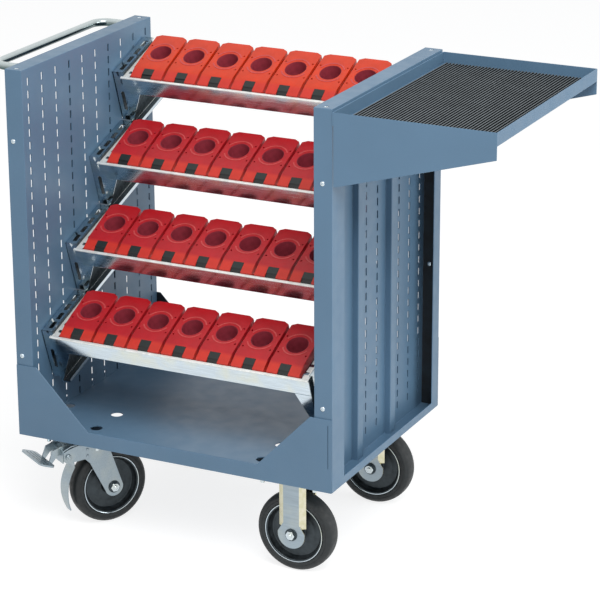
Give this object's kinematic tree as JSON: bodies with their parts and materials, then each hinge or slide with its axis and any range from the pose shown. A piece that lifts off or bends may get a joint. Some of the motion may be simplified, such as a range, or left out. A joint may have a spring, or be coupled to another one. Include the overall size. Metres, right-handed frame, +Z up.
{
  "type": "tool cart",
  "caption": "Tool cart with tilted racks of bored tool inserts between slotted side panels, a push handle, a side tray and casters, some of them swivelling with a brake.",
  "frame": {"origin": "on the floor, at the middle of the cart's overall length and of its body's depth", "axes": "+X along the cart from the push handle to the side tray, +Y from the open front, where the racks are low, to the back, +Z up"},
  "size_m": [1.065, 0.6013, 0.94],
  "materials": {
    "blue_paint": "satin powder coat",
    "zinc_plate": "bright zinc plate",
    "chrome": "polished",
    "orange_plastic": "moulded",
    "red_plastic": "moulded",
    "mat_rubber": "ribbed",
    "tyre_rubber": "matt",
    "rim_metal": "grey"
  },
  "bodies": {
    "cart": {"base_floor": "blue_paint", "base_front_plate": "blue_paint", "base_rear_plate": "blue_paint", "side_panel_left": "blue_paint", "side_panel_right": "blue_paint", "tray_pan": "blue_paint", "push_handle": "chrome", "tray_mat": "mat_rubber", "support_frame_1": "zinc_plate", "support_frame_2": "zinc_plate", "support_frame_3": "zinc_plate", "support_frame_4": "zinc_plate", "tool_insert_1_1": "red_plastic", "tool_insert_1_2": "red_plastic", "tool_insert_1_3": "red_plastic", "tool_insert_1_4": "red_plastic", "tool_insert_1_5": "red_plastic", "tool_insert_1_6": "red_plastic", "tool_insert_1_7": "red_plastic", "tool_insert_2_1": "red_plastic", "tool_insert_2_2": "red_plastic", "tool_insert_2_3": "red_plastic", "tool_insert_2_4": "red_plastic", "tool_insert_2_5": "red_plastic", "tool_insert_2_6": "red_plastic", "tool_insert_2_7": "red_plastic", "tool_insert_3_1": "red_plastic", "tool_insert_3_2": "red_plastic", "tool_insert_3_3": "red_plastic", "tool_insert_3_4": "red_plastic", "tool_insert_3_5": "red_plastic", "tool_insert_3_6": "red_plastic", "tool_insert_3_7": "red_plastic", "tool_insert_4_1": "orange_plastic", "tool_insert_4_2": "orange_plastic", "tool_insert_4_3": "orange_plastic", "tool_insert_4_4": "orange_plastic", "tool_insert_4_5": "orange_plastic", "tool_insert_4_6": "orange_plastic", "tool_insert_4_7": "orange_plastic", "fixed_fork_right_front": "zinc_plate", "fixed_fork_right_rear": "zinc_plate", "swivel_plate_left_front": "zinc_plate", "swivel_plate_left_rear": "zinc_plate", "axle_right_front": "zinc_plate", "axle_right_rear": "zinc_plate"},
    "swivel_front": {"swivel_fork_left_front": "zinc_plate", "axle_left_front": "zinc_plate"},
    "pedal_front": {"brake_pedal_left_front": "zinc_plate"},
    "wheel_left_front": {"rim_left_front": "rim_metal", "tyre_left_front": "tyre_rubber"},
    "wheel_right_front": {"rim_right_front": "rim_metal", "tyre_right_front": "tyre_rubber"},
    "swivel_rear": {"swivel_fork_left_rear": "zinc_plate", "axle_left_rear": "zinc_plate"},
    "pedal_rear": {"brake_pedal_left_rear": "zinc_plate"},
    "wheel_left_rear": {"rim_left_rear": "rim_metal", "tyre_left_rear": "tyre_rubber"},
    "wheel_right_rear": {"rim_right_rear": "rim_metal", "tyre_right_rear": "tyre_rubber"}
  },
  "joints": [
    {"name": "swivel_front_turn", "type": "hinge", "parent": "cart", "child": "swivel_front", "pos_m": [-0.3625, -0.18, 0.2], "axis": [0, 0, 1], "continuous": true},
    {"name": "wheel_left_front_spin", "type": "hinge", "parent": "swivel_front", "child": "wheel_left_front", "pos_m": [-0.33527, -0.13807, 0.08], "axis": [-0.8387, 0.5446, 0], "continuous": true},
    {"name": "pedal_front_press", "type": "hinge", "parent": "swivel_front", "child": "pedal_front", "pos_m": [-0.38537, -0.21522, 0.1774], "axis": [0.8387, -0.5446, 0], "range_deg": [0, 10]},
    {"name": "wheel_right_front_spin", "type": "hinge", "parent": "cart", "child": "wheel_right_front", "pos_m": [0.1115, -0.18, 0.08], "axis": [0, 1, 0], "continuous": true},
    {"name": "swivel_rear_turn", "type": "hinge", "parent": "cart", "child": "swivel_rear", "pos_m": [-0.3625, 0.18, 0.2], "axis": [0, 0, 1], "continuous": true},
    {"name": "wheel_left_rear_spin", "type": "hinge", "parent": "swivel_rear", "child": "wheel_left_rear", "pos_m": [-0.33527, 0.22193, 0.08], "axis": [-0.8387, 0.5446, 0], "continuous": true},
    {"name": "pedal_rear_press", "type": "hinge", "parent": "swivel_rear", "child": "pedal_rear", "pos_m": [-0.38537, 0.14478, 0.1774], "axis": [0.8387, -0.5446, 0], "range_deg": [0, 10]},
    {"name": "wheel_right_rear_spin", "type": "hinge", "parent": "cart", "child": "wheel_right_rear", "pos_m": [0.1115, 0.18, 0.08], "axis": [0, 1, 0], "continuous": true}
  ]
}
